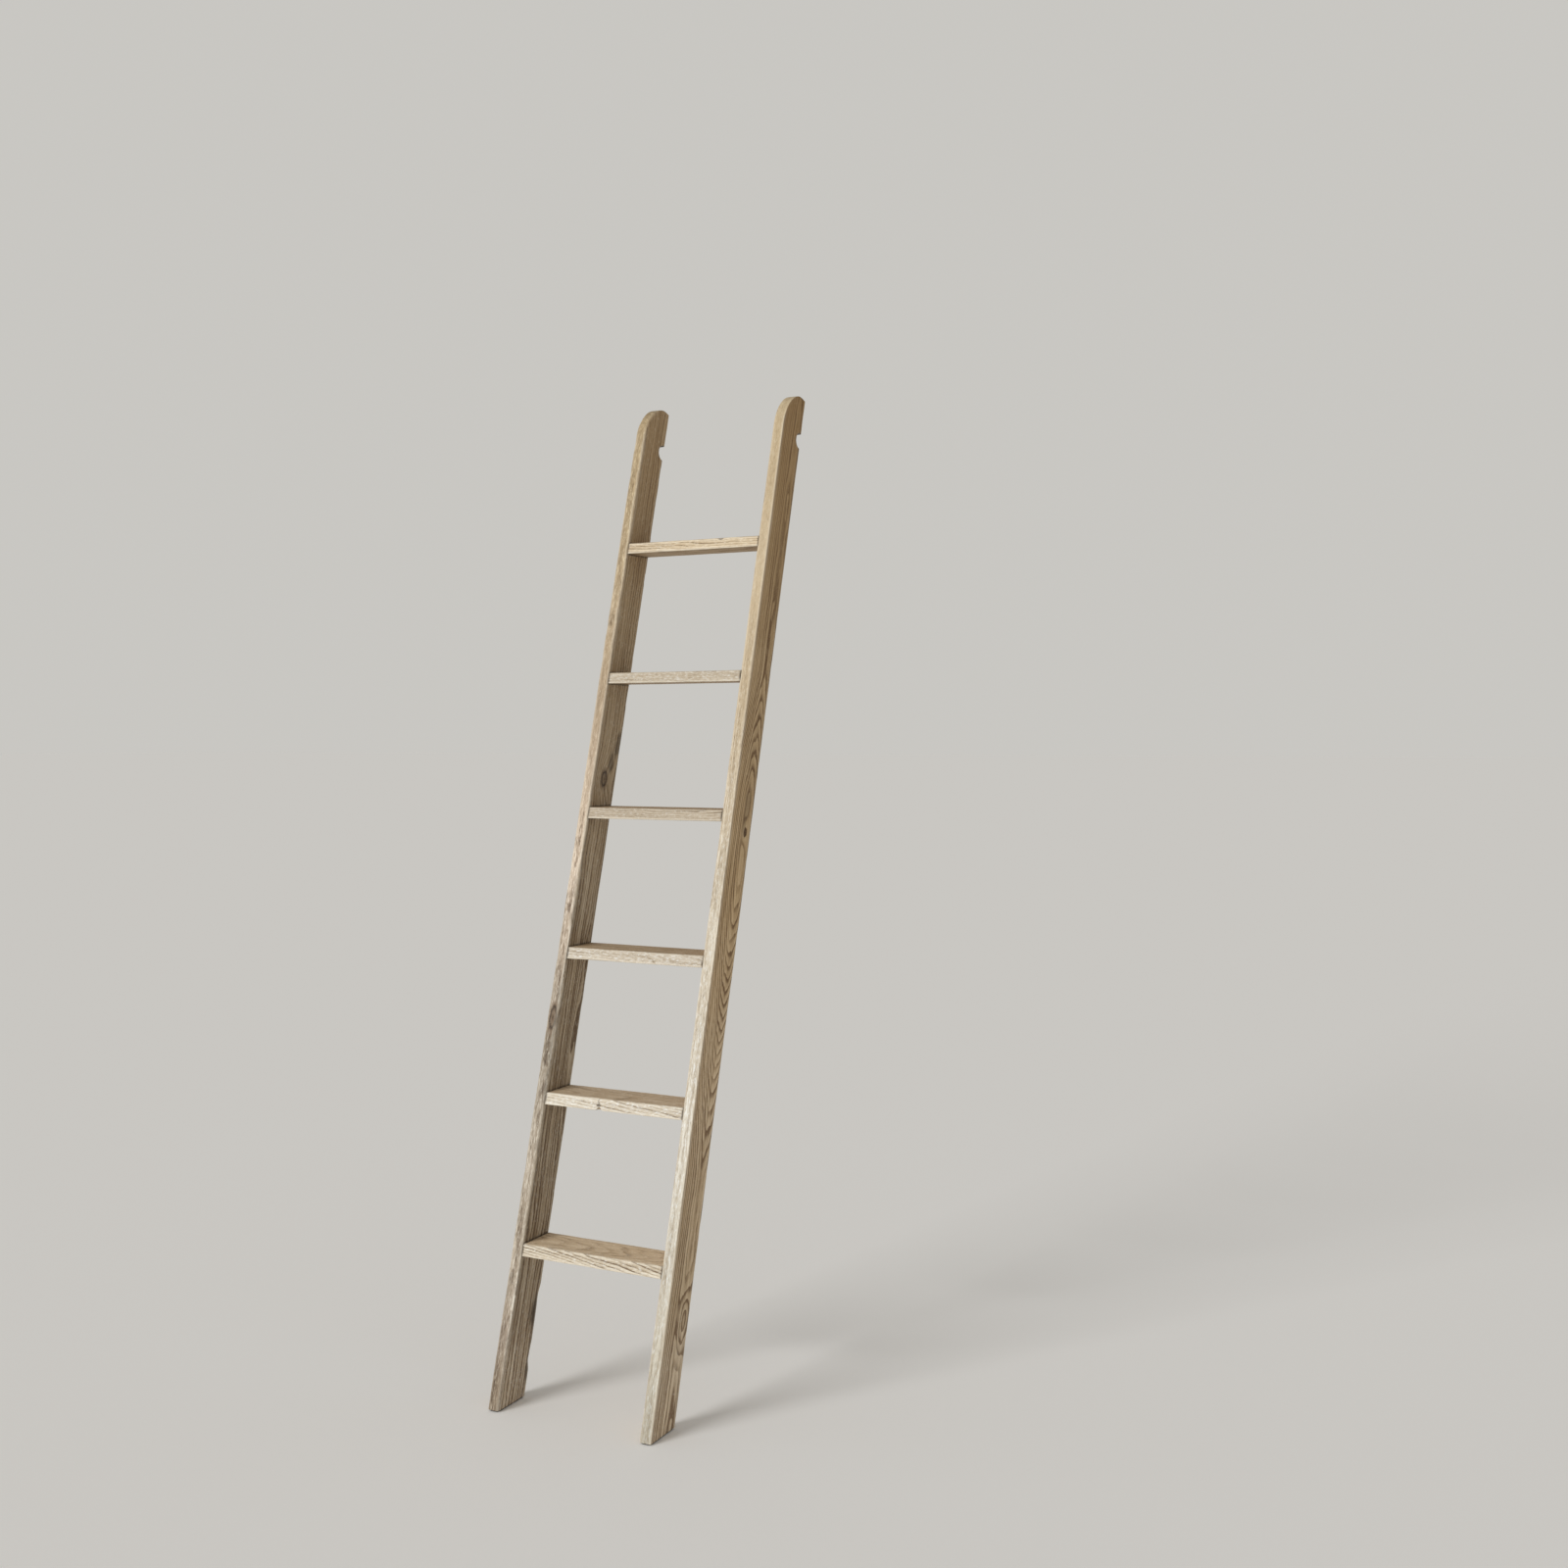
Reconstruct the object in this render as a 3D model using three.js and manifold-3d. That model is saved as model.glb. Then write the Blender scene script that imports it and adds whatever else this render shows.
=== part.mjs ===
// Library ladder: two leaning stiles, six level treads, blind dowel joints and thin foot pads.
// Millimetres, +Z up. X runs across the treads, and the ladder leans towards +Y, where the rail is.
// The origin is on the floor, under the middle of the ladder's bounding box.
import * as THREE from 'three';
import { mergeVertices } from 'three/addons/utils/BufferGeometryUtils.js';
import Module from 'manifold-3d';

const wasm = await Module();
wasm.setup();

// Driving dimensions.
const ladderWidth = 361; // over the stiles' outer faces
const ladderHeight = 2010; // floor to the crown of the stiles
const lean = THREE.MathUtils.degToRad(15.6); // from upright, towards +Y

const stileThickness = 24;
const stileDepth = 84; // square to the stile's length
const stileArris = 1.5; // small chamfer on the long edges
const crownRise = 75; // how far below the crown the front edge starts to curve back
const crownRun = 62; // how far behind the front face the crown is, level
const crownDrop = 6; // from the crown down to the top's back corner

const railHeight = 1914; // floor to the middle of the rail
const notchRadius = 16.5; // for a 30 mm rail
const notchInset = 2; // notch centre in from the stile's back edge

const treadCount = 6;
const treadThickness = 23;
const treadRise = 280;
const lowestTreadTop = 300;
const treadSetback = 0.6; // tread edges behind the stiles' front and back faces
const treadArris = 1.5;
const glueLine = 0.3; // gap left in every glued joint

const dowelRadius = 5;
const dowelLength = 40;
const dowelInStile = 13;
const dowelChamfer = 1;
const dowelSpacing = 48; // between the two dowels in one tread end
const boreRadius = dowelRadius + 0.25;
const boreEndRoom = 1;

const padThickness = 2;
const padInset = 3; // pad edge in from the foot's edges
const padCorner = 3;

// Values worked out from the driving dimensions.
const leanSlope = Math.tan(lean);
const levelDepth = stileDepth / Math.cos(lean); // stile's depth on a level cut
const footHeight = padThickness + glueLine;
const innerFace = ladderWidth / 2 - stileThickness;
const treadLength = 2 * (innerFace - glueLine);
const curveSteps = 14;
const roundSides = 16;

const stileWood = { color: 0xb8a78a, roughness: 0.62, metalness: 0 };
const treadWood = { color: 0xb3a283, roughness: 0.66, metalness: 0 };
const dowelWood = { color: 0xd2b68c, roughness: 0.7, metalness: 0 };
const padRubber = { color: 0x24211f, roughness: 0.9, metalness: 0 };

// The front face's distance behind the floor corner, at height z.
function frontAt(z) {
  return z * leanSlope;
}

// Side outline of a stile, drawn with Y to the right and Z up.
function stileShape() {
  const along = new THREE.Vector2(Math.sin(lean), Math.cos(lean));
  const inward = new THREE.Vector2(-Math.cos(lean), Math.sin(lean)); // back edge to front edge
  const alongAngle = Math.PI / 2 - lean;

  const notch = new THREE.Vector2(
    frontAt(railHeight) + (stileDepth - notchInset) / Math.cos(lean),
    railHeight,
  );
  const lowerLip = notch.clone().addScaledVector(along, -notchRadius).addScaledVector(inward, -notchInset);
  const upperLip = notch.clone().addScaledVector(along, notchRadius).addScaledVector(inward, -notchInset);

  const crown = new THREE.Vector2(frontAt(ladderHeight) + crownRun, ladderHeight);
  const backTop = new THREE.Vector2(frontAt(ladderHeight - crownDrop) + levelDepth, ladderHeight - crownDrop);
  const curveStart = new THREE.Vector2(frontAt(ladderHeight), ladderHeight).addScaledVector(along, -crownRise);

  // A cubic with this handle length is a quarter of an ellipse, here one skewed to the lean.
  const handle = 0.5523;

  const shape = new THREE.Shape();
  shape.moveTo(frontAt(footHeight), footHeight);
  shape.lineTo(frontAt(footHeight) + levelDepth, footHeight);
  shape.lineTo(lowerLip.x, lowerLip.y);
  shape.absarc(notch.x, notch.y, notchRadius, alongAngle + Math.PI, alongAngle, true);
  shape.lineTo(upperLip.x, upperLip.y);
  shape.lineTo(backTop.x, backTop.y);
  shape.quadraticCurveTo((crown.x + backTop.x) / 2, crown.y, crown.x, crown.y);
  shape.bezierCurveTo(
    crown.x - handle * crownRun, crown.y,
    curveStart.x + handle * crownRise * along.x, curveStart.y + handle * crownRise * along.y,
    curveStart.x, curveStart.y,
  );
  shape.closePath();
  return shape;
}

// Side outline of the tread whose top is at height topZ: a board with its edges cut to the lean.
function treadShape(topZ) {
  const bottomZ = topZ - treadThickness;
  const corners = [
    [frontAt(bottomZ) + treadSetback, bottomZ],
    [frontAt(bottomZ) + levelDepth - treadSetback, bottomZ],
    [frontAt(topZ) + levelDepth - treadSetback, topZ],
    [frontAt(topZ) + treadSetback, topZ],
  ].map(([y, z]) => new THREE.Vector2(y, z));

  const points = corners.flatMap((corner, index) => {
    const before = corners.at(index - 1).clone().sub(corner).setLength(treadArris);
    const after = corners[(index + 1) % corners.length].clone().sub(corner).setLength(treadArris);
    return [before.add(corner), after.add(corner)];
  });
  return new THREE.Shape(points);
}

// Turns a shape drawn in Y and Z into a board that runs along +X from x = 0.
function boardGeometry(shape, length, arris) {
  const geometry = new THREE.ExtrudeGeometry(shape, {
    depth: length - 2 * arris,
    steps: 1,
    curveSegments: curveSteps,
    bevelEnabled: arris > 0,
    bevelThickness: arris,
    bevelSize: arris,
    bevelOffset: -arris,
    bevelSegments: 1,
  });
  geometry.translate(0, 0, arris);
  const turn = new THREE.Matrix4().makeBasis(
    new THREE.Vector3(0, 1, 0),
    new THREE.Vector3(0, 0, 1),
    new THREE.Vector3(1, 0, 0),
  );
  return geometry.applyMatrix4(turn);
}

// A closed cylinder along +X, starting at (x, y, z), that cuts a dowel's bore.
function boreGeometry(x, y, z, length) {
  const geometry = new THREE.CylinderGeometry(boreRadius, boreRadius, length, roundSides);
  geometry.rotateZ(-Math.PI / 2);
  return geometry.translate(x + length / 2, y, z);
}

function toSolid(geometry) {
  const bare = geometry.clone();
  bare.deleteAttribute('normal');
  bare.deleteAttribute('uv');
  const merged = mergeVertices(bare);
  return new wasm.Manifold(new wasm.Mesh({
    numProp: 3,
    vertProperties: new Float32Array(merged.attributes.position.array),
    triVerts: new Uint32Array(merged.index.array),
  }));
}

function cutBores(geometry, bores) {
  let solid = toSolid(geometry);
  for (const bore of bores) {
    solid = solid.subtract(toSolid(bore));
  }
  const { vertProperties, triVerts } = solid.getMesh();
  const cut = new THREE.BufferGeometry();
  cut.setAttribute('position', new THREE.BufferAttribute(new Float32Array(vertProperties), 3));
  cut.setIndex(new THREE.BufferAttribute(new Uint32Array(triVerts), 1));
  cut.computeVertexNormals();
  return cut;
}

function named(name, geometry, finish) {
  const mesh = new THREE.Mesh(geometry, new THREE.MeshStandardMaterial(finish));
  mesh.name = name;
  return mesh;
}

// Treads, lowest first, with the places of the two dowels in each tread end.
const treads = Array.from({ length: treadCount }, (_, index) => {
  const topZ = lowestTreadTop + index * treadRise;
  const z = topZ - treadThickness / 2;
  const middle = frontAt(z) + levelDepth / 2;
  return {
    number: index + 1,
    topZ,
    dowels: [
      { place: 'front', y: middle - dowelSpacing / 2, z },
      { place: 'back', y: middle + dowelSpacing / 2, z },
    ],
  };
});
const dowelPlaces = treads.flatMap((tread) => tread.dowels);

// side is -1 for the left stile and +1 for the right one, seen by someone climbing.
function stile(name, side) {
  const boreDepth = dowelInStile + boreEndRoom;
  const boreStart = side < 0 ? stileThickness - boreDepth : 0;
  const bores = dowelPlaces.map(({ y, z }) => boreGeometry(boreStart, y, z, boreDepth));
  const board = boardGeometry(stileShape(), stileThickness, stileArris);
  const mesh = named(name, cutBores(board, bores), stileWood);
  mesh.position.x = side < 0 ? -ladderWidth / 2 : innerFace;
  return mesh;
}

function tread({ number, topZ, dowels }) {
  const boreDepth = dowelLength - dowelInStile + boreEndRoom;
  const bores = dowels.flatMap(({ y, z }) => [
    boreGeometry(0, y, z, boreDepth),
    boreGeometry(treadLength - boreDepth, y, z, boreDepth),
  ]);
  const board = boardGeometry(treadShape(topZ), treadLength, 0);
  const mesh = named(`tread_${number}`, cutBores(board, bores), treadWood);
  mesh.position.x = -treadLength / 2;
  return mesh;
}

function dowel(name, side, { y, z }) {
  const profile = [
    [0, 0],
    [dowelRadius - dowelChamfer, 0],
    [dowelRadius, dowelChamfer],
    [dowelRadius, dowelLength - dowelChamfer],
    [dowelRadius - dowelChamfer, dowelLength],
    [0, dowelLength],
  ].map(([radius, height]) => new THREE.Vector2(radius, height));
  const mesh = named(name, new THREE.LatheGeometry(profile, roundSides), dowelWood);
  mesh.position.set(side * (innerFace + dowelInStile - dowelLength), y, z);
  mesh.rotation.z = -side * Math.PI / 2; // its length points out of the tread, into the stile
  return mesh;
}

// A thin pad glued under a foot, just inside its edges.
function footPad(name, side) {
  const width = stileThickness - 2 * padInset;
  const depth = levelDepth - 2 * padInset;
  const shape = new THREE.Shape();
  shape.moveTo(padCorner, 0);
  shape.lineTo(width - padCorner, 0);
  shape.absarc(width - padCorner, padCorner, padCorner, -Math.PI / 2, 0, false);
  shape.lineTo(width, depth - padCorner);
  shape.absarc(width - padCorner, depth - padCorner, padCorner, 0, Math.PI / 2, false);
  shape.lineTo(padCorner, depth);
  shape.absarc(padCorner, depth - padCorner, padCorner, Math.PI / 2, Math.PI, false);
  shape.lineTo(0, padCorner);
  shape.absarc(padCorner, padCorner, padCorner, Math.PI, 1.5 * Math.PI, false);

  const geometry = new THREE.ExtrudeGeometry(shape, {
    depth: padThickness,
    curveSegments: 4,
    bevelEnabled: false,
  });
  const mesh = named(name, geometry, padRubber);
  const outerEdge = side < 0 ? -ladderWidth / 2 : innerFace;
  mesh.position.set(outerEdge + padInset, frontAt(footHeight) + padInset, 0);
  return mesh;
}

const assembly = new THREE.Group();
const sides = [['left', -1], ['right', 1]];

for (const [sideName, side] of sides) {
  assembly.add(stile(`${sideName}_stile`, side));
  assembly.add(footPad(`${sideName}_foot_pad`, side));
}
for (const board of treads) {
  assembly.add(tread(board));
  for (const [sideName, side] of sides) {
    for (const spot of board.dowels) {
      assembly.add(dowel(`dowel_${board.number}_${sideName}_${spot.place}`, side, spot));
    }
  }
}

// Puts the middle of the ladder's depth on the origin.
const outline = new THREE.Box2().setFromPoints(stileShape().getPoints(curveSteps));
assembly.position.y = -(outline.min.x + outline.max.x) / 2;

const ladder = new THREE.Group();
ladder.add(assembly);

export default ladder;
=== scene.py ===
"""Library ladder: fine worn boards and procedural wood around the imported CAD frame.

Metres, +Z up, in the row frame. Boards are worked out in their own coordinates: x across the
ladder, d square behind the stiles' front faces, and s along the stiles from the floor.
"""

import math

import bmesh
import bpy
import numpy as np
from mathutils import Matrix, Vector


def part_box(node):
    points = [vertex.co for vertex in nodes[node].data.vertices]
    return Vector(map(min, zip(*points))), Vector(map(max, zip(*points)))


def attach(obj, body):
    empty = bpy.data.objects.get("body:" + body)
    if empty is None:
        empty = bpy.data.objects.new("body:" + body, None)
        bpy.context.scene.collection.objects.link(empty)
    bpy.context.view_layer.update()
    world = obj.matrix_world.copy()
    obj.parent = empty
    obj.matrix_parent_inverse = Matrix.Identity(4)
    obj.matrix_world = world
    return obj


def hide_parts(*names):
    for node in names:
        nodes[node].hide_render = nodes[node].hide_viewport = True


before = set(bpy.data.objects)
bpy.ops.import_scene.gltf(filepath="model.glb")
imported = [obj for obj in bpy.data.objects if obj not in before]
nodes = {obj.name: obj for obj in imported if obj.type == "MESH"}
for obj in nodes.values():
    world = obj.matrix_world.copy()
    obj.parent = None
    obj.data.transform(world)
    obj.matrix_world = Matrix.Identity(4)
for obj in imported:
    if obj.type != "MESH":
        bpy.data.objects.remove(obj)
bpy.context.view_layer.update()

MM = 0.001

# The ladder's own dimensions, as in the CAD.
LEAN = math.radians(15.6)
SIN, COS, TAN = math.sin(LEAN), math.cos(LEAN), math.tan(LEAN)
STILE_DEPTH = 84 * MM
CROWN_RISE = 75 * MM
CROWN_RUN = 62 * MM
CROWN_DROP = 6 * MM
RAIL_HEIGHT = 1914 * MM
NOTCH_RADIUS = 16.5 * MM
NOTCH_INSET = 2 * MM
TREAD_SETBACK = 0.6 * MM
BORE_RADIUS = 5.25 * MM
BORE_END_ROOM = 1 * MM
TREAD_COUNT = 6

stile_low, stile_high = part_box("left_stile")
HEIGHT = stile_high.z
FOOT_HEIGHT = stile_low.z
FRONT_AT_FLOOR = stile_low.y - FOOT_HEIGHT * TAN
LEVEL_DEPTH = STILE_DEPTH / COS

lowest_low, lowest_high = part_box("tread_1")
second_low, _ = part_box("tread_2")
TREAD_RISE = second_low.z - lowest_low.z
TREAD_MIDDLE = (lowest_low.z + lowest_high.z) / 2  # of the lowest tread
TREAD_HALF = (lowest_high.z - lowest_low.z) / 2
TREAD_END = lowest_high.x


def to_board(y, z):
    """(d, s) of a point given by its distance behind the front's floor line and its height."""
    return np.array([y * COS - z * SIN, y * SIN + z * COS])


def to_row(x, d, s):
    """Row-frame points from a board's own x, d and s."""
    return np.stack([x, FRONT_AT_FLOOR + s * SIN + d * COS, s * COS - d * SIN], axis=-1)


# ---- Noise for the meshes ----

LATTICE = 32


def smooth(t):
    t = np.clip(t, 0, 1)
    return t * t * (3 - 2 * t)


def noise(points, size, seed):
    """Smooth noise from 0 to 1 at points of any number of axes, with features about size long."""
    points = np.asarray(points, float) / np.asarray(size, float)
    axes = points.shape[-1]
    values = np.random.RandomState(seed).rand(*[LATTICE] * axes)
    cell = np.floor(points).astype(int)
    part = smooth(points - cell)
    total = np.zeros(points.shape[:-1])
    for corner in np.ndindex(*[2] * axes):
        weight = np.ones(points.shape[:-1])
        index = []
        for axis, step in enumerate(corner):
            weight = weight * (part[..., axis] if step else 1 - part[..., axis])
            index.append((cell[..., axis] + step) % LATTICE)
        total += weight * values[tuple(index)]
    return total


def noise_along(s, size, seed):
    return noise(np.asarray(s)[..., None], size, seed)


# ---- Board meshes: rows of rings round a rounded rectangle ----

ARC = np.radians([45, 30, 15])
LONG_MARKS = np.array([0, .02, .05, .1, .17, .25, .34, .44, .56, .66, .75, .83, .9, .95, .98, 1])
SHORT_MARKS = np.array([0, .06, .14, .2, .35, .5, .65, .8, .86, .94, 1])
WIDE_REACH, NARROW_REACH = 0.07, 0.17  # how much of each side the pale wear and painted highlight of an arris covers

# The corners of a ring: the front's -side, the back's -side, the back's +side, the front's +side.
CORNERS = [(0, -1), (1, -1), (1, 1), (0, 1)]

# The side after each corner: its direction, outwards, its points, and the reach of the wear.
SIDES = [
    ((1, 0), (0, -1), LONG_MARKS, WIDE_REACH),
    ((0, 1), (1, 0), SHORT_MARKS, NARROW_REACH),
    ((-1, 0), (0, 1), LONG_MARKS, WIDE_REACH),
    ((0, -1), (-1, 0), SHORT_MARKS, NARROW_REACH),
]


def rings(length, half, radii):
    """Closed rings round rectangles from (0, -half) to (length, half), one for each row.

    Gives the points p and q, their outward normals, and for each corner how near a point is to it,
    from 0 to 1. length and half have one value for each row, and radii has four.
    """
    places, normals, nearness = [], [], []

    def put(place, normal, near):
        places.append(place)
        normals.append(np.broadcast_to(normal, place.shape))
        nearness.append(near)

    for number, (along, out, marks, reach) in enumerate(SIDES):
        along, out = np.array(along, float), np.array(out, float)
        after = (number + 1) % len(CORNERS)
        ends = []
        for which in (number, after):
            depth, side = CORNERS[which]
            ends.append(np.stack([depth * length, side * half], axis=-1))
        start, end = ends
        r_start, r_end = radii[:, number, None], radii[:, after, None]
        first, last = start + r_start * along, end - r_end * along
        for angle in ARC:
            normal = out * math.cos(angle) - along * math.sin(angle)
            put(first - r_start * out + r_start * normal, normal, {number: 1.0})
        for mark in marks:
            from_start = max(0.0, 1 - mark / reach)
            from_end = max(0.0, 1 - (1 - mark) / reach)
            put(first + (last - first) * mark, out, {number: from_start, after: from_end})
        for angle in ARC[:0:-1]:
            normal = out * math.cos(angle) + along * math.sin(angle)
            put(last - r_end * out + r_end * normal, normal, {after: 1.0})

    near = np.zeros((len(places), len(CORNERS)))
    for index, corners in enumerate(nearness):
        for corner, value in corners.items():
            near[index, corner] = value
    return np.stack(places, axis=1), np.stack(normals, axis=1), near


def side_starts():
    """The index of each side's first point in a ring, and the number of points in a ring."""
    starts, total = [], 0
    for _, _, marks, _ in SIDES:
        starts.append(total)
        total += len(marks) + 2 * len(ARC) - 1
    return starts, total


def cap_points(ring):
    """A grid of points that fills one ring, as a Coons patch, with the indices of its border."""
    starts, total = side_starts()
    wide, narrow = starts[1], starts[2] - starts[1]
    index = -np.ones((wide + 1, narrow + 1), int)
    index[:, 0] = np.arange(wide + 1)
    index[wide, :] = starts[1] + np.arange(narrow + 1)
    index[::-1, narrow] = starts[2] + np.arange(wide + 1)
    index[0, ::-1] = (starts[3] + np.arange(narrow + 1)) % total
    u = np.linspace(0, 1, wide + 1)[:, None, None]
    v = np.linspace(0, 1, narrow + 1)[None, :, None]
    low, high = ring[index[:, 0]][:, None], ring[index[:, narrow]][:, None]
    front, back = ring[index[0]][None], ring[index[wide]][None]
    corners = (
        (1 - u) * (1 - v) * front[:, :1] + (1 - u) * v * front[:, -1:]
        + u * (1 - v) * back[:, :1] + u * v * back[:, -1:]
    )
    grid = (1 - v) * low + v * high + (1 - u) * front + u * back - corners
    return grid[1:-1, 1:-1], index


def board_mesh(name, points, wear):
    """A closed mesh from rows of rings, with both ends filled."""
    rows, count = points.shape[:2]
    vertices = [points.reshape(-1, 3)]
    wears = [wear.reshape(-1)]
    here = np.arange(rows * count).reshape(rows, count)
    nxt = np.roll(here, -1, axis=1)
    faces = [np.stack([here[:-1], nxt[:-1], nxt[1:], here[1:]], axis=-1).reshape(-1, 4)]
    used = rows * count
    for row, turned in ((0, True), (rows - 1, False)):
        inner, index = cap_points(points[row])
        index = np.where(index >= 0, index + row * count, -1)
        index[1:-1, 1:-1] = used + np.arange(inner[..., 0].size).reshape(inner.shape[:2])
        used += inner[..., 0].size
        vertices.append(inner.reshape(-1, 3))
        wears.append(np.zeros(inner[..., 0].size))
        quads = np.stack([index[:-1, :-1], index[1:, :-1], index[1:, 1:], index[:-1, 1:]], axis=-1)
        quads = quads.reshape(-1, 4)
        faces.append(quads[:, ::-1] if turned else quads)
    mesh = bpy.data.meshes.new(name)
    mesh.from_pydata(np.concatenate(vertices).tolist(), [], np.concatenate(faces).tolist())
    mesh.attributes.new("wear", "FLOAT", "POINT")
    mesh.attributes["wear"].data.foreach_set("value", np.concatenate(wears).astype(np.float32))
    mesh.update()
    return mesh


# ---- Stiles ----

ROW_STEP = 3 * MM
LEVEL_ROWS_END = 0.3  # m above the foot, where the rows have turned from level to square
FOOT_EASE = 1.2 * MM
CROWN_EASE = 2.2 * MM
CROWN_BACK_SLOPE = 0.3  # how much of the lean the eased back corner of the crown follows
EASE_ANGLES = np.radians([90, 67.5, 45, 22.5, 0])

# The rounded lip of the notch, as (away from the notch, into it), in lip eases.
LIP_EASE = 1.0 * MM
LIP_PROFILE = [(1.0, 0.0), (0.62, 0.08), (0.29, 0.29), (0.08, 0.62), (0.0, 1.0)]
NOTCH_ANGLES = np.radians(np.arange(0, 181, 10))

QUARTER_HANDLE = 0.5523  # a cubic with this handle length is a quarter of an ellipse
CURVE_SAMPLES = 400
CROWN_ROWS = 14


def crown_curve(t):
    """The front's curve up to the crown, as (d, s), for t from 0 to 1."""
    along = np.array([SIN, COS])
    crown = np.array([HEIGHT * TAN + CROWN_RUN, HEIGHT])
    start = np.array([HEIGHT * TAN, HEIGHT]) - CROWN_RISE * along
    after_start = start + QUARTER_HANDLE * CROWN_RISE * along
    before_crown = crown - np.array([QUARTER_HANDLE * CROWN_RUN, 0])
    controls = [start, after_start, before_crown, crown]
    t = np.asarray(t)[..., None]
    weights = [(1 - t) ** 3, 3 * t * (1 - t) ** 2, 3 * t * t * (1 - t), t ** 3]
    y, z = np.moveaxis(sum(w * c for w, c in zip(weights, controls)), -1, 0)
    return to_board(y, z)


CURVE_T = np.linspace(0, 1, CURVE_SAMPLES)
CURVE_D, CURVE_S = crown_curve(CURVE_T)
CURVE_Z = CURVE_S * COS - CURVE_D * SIN
NOTCH_S = (RAIL_HEIGHT + (STILE_DEPTH - NOTCH_INSET) * SIN) / COS
BACK_TOP_S = (HEIGHT - CROWN_DROP + STILE_DEPTH * SIN) / COS


def stile_rows():
    """Rows from foot to crown: (front d, front s, back d, back s, inset of the sides, bow)."""
    rows = []
    level_shift = STILE_DEPTH * TAN
    foot_front = FOOT_HEIGHT / COS

    for angle in EASE_ANGLES:
        inset = FOOT_EASE * (1 - math.cos(angle))
        up = FOOT_EASE * (1 - math.sin(angle)) / COS
        front = (inset * COS, foot_front + up + inset * SIN)
        back = (STILE_DEPTH - inset * COS, foot_front + level_shift + up - inset * SIN)
        rows.append((*front, *back, inset, 0))

    notch_low = NOTCH_S - NOTCH_RADIUS
    straight_start = foot_front + FOOT_EASE / COS
    straight = np.arange(straight_start + ROW_STEP, notch_low - 2 * LIP_EASE, ROW_STEP)
    for s in straight:
        shift = level_shift * (1 - smooth((s - straight_start) / LEVEL_ROWS_END))
        rows.append((0, s, STILE_DEPTH, s + float(shift), 0, 0))
    # The last rows stop short of the notch's lip at the back.
    rows = [row for row in rows if row[3] < notch_low - 1.5 * LIP_EASE]

    notch = [(notch_low - away * LIP_EASE, deep * LIP_EASE) for away, deep in LIP_PROFILE]
    for angle in NOTCH_ANGLES:
        deep = NOTCH_INSET + NOTCH_RADIUS * math.sin(angle)
        notch.append((NOTCH_S - NOTCH_RADIUS * math.cos(angle), deep))
    notch += [(2 * NOTCH_S - s, deep) for s, deep in notch[len(LIP_PROFILE) - 1::-1]]
    for s, deep in notch:
        front_d = float(np.interp(s, CURVE_S, CURVE_D, left=0))
        rows.append((front_d, s, STILE_DEPTH - deep, s, 0, 0))

    top_front = rows[-1][1]
    eased_s = float(np.interp(HEIGHT - CROWN_EASE, CURVE_Z, CURVE_S))
    back_end = BACK_TOP_S - CROWN_EASE / COS
    # The front goes by the curve's own t, so that its points stay even where it turns level.
    curve = np.interp([top_front, eased_s], CURVE_S, CURVE_T)
    for t in np.linspace(0, 1, CROWN_ROWS + 2)[1:-1]:
        d, s = crown_curve(curve[0] + (curve[1] - curve[0]) * t)
        back_s = top_front + (back_end - top_front) * t
        rows.append((float(d), float(s), STILE_DEPTH, back_s, 0, t ** 3))
    for angle in EASE_ANGLES[::-1]:
        inset = CROWN_EASE * (1 - math.cos(angle))
        down = CROWN_EASE * (1 - math.sin(angle))
        at = float(np.interp(HEIGHT - down, CURVE_Z, CURVE_T))
        d, s = crown_curve(at)
        back_s = BACK_TOP_S - down / COS - inset * TAN * CROWN_BACK_SLOPE
        back = (STILE_DEPTH - inset, back_s)
        rows.append((float(d), float(s), *back, inset, 1))
    return np.array(rows, float)


# Unevenness of the faces: the size of its noise in metres, across and along a board.
BROAD_DIPS, FINE_DIPS = (0.022, 0.07), (0.007, 0.03)
BROAD_SHARE, FINE_SHARE = 0.6, 0.4


def stile_points(side, radii, seed, unevenness):
    """Points of a stile: side is -1 or 1, radii is a function of s for its four long arrises."""
    rows = stile_rows()
    front, back, inset, bow = rows[:, 0:2], rows[:, 2:4], rows[:, 4], rows[:, 5]
    run = back - front
    length = np.linalg.norm(run, axis=1)
    half = (stile_high.x - stile_low.x) / 2 - inset
    flat, normals, near = rings(length, half, radii(front[:, 1]))
    p, q = flat[..., 0], flat[..., 1]
    share = p / length[:, None]
    s = front[:, 1:2] + share * run[:, 1:2]

    broad = noise(np.stack([p + 3 * q, s], axis=-1), BROAD_DIPS, seed)
    fine = noise(np.stack([p - 2 * q, s], axis=-1), FINE_DIPS, seed + 1)
    drop = unevenness * (broad * BROAD_SHARE + FINE_SHARE * fine)
    p = p - normals[..., 0] * drop
    q = q - normals[..., 1] * drop
    share = p / length[:, None]
    d = front[:, 0:1] + share * run[:, 0:1]
    s = front[:, 1:2] + share * run[:, 1:2]
    # The top is a parabola that rises a quarter of the crown's drop over its own chord.
    s = s + bow[:, None] * CROWN_DROP * np.clip(share * (1 - share), 0, 1)
    centre = side * (abs(stile_low.x) + abs(stile_high.x)) / 2
    return to_row(centre + q, d, s), near, s


def add_object(name, data):
    made = bpy.data.objects.new(name, data)
    bpy.context.scene.collection.objects.link(made)
    return made


BORE_SIDES = 40
BORE_OVERSHOOT = 2 * MM  # how far a cutter starts outside the board
SHARP_ANGLE = math.radians(38)


def dowel_names(number, side_name):
    return [f"dowel_{number}_{side_name}_{place}" for place in ("front", "back")]


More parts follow.
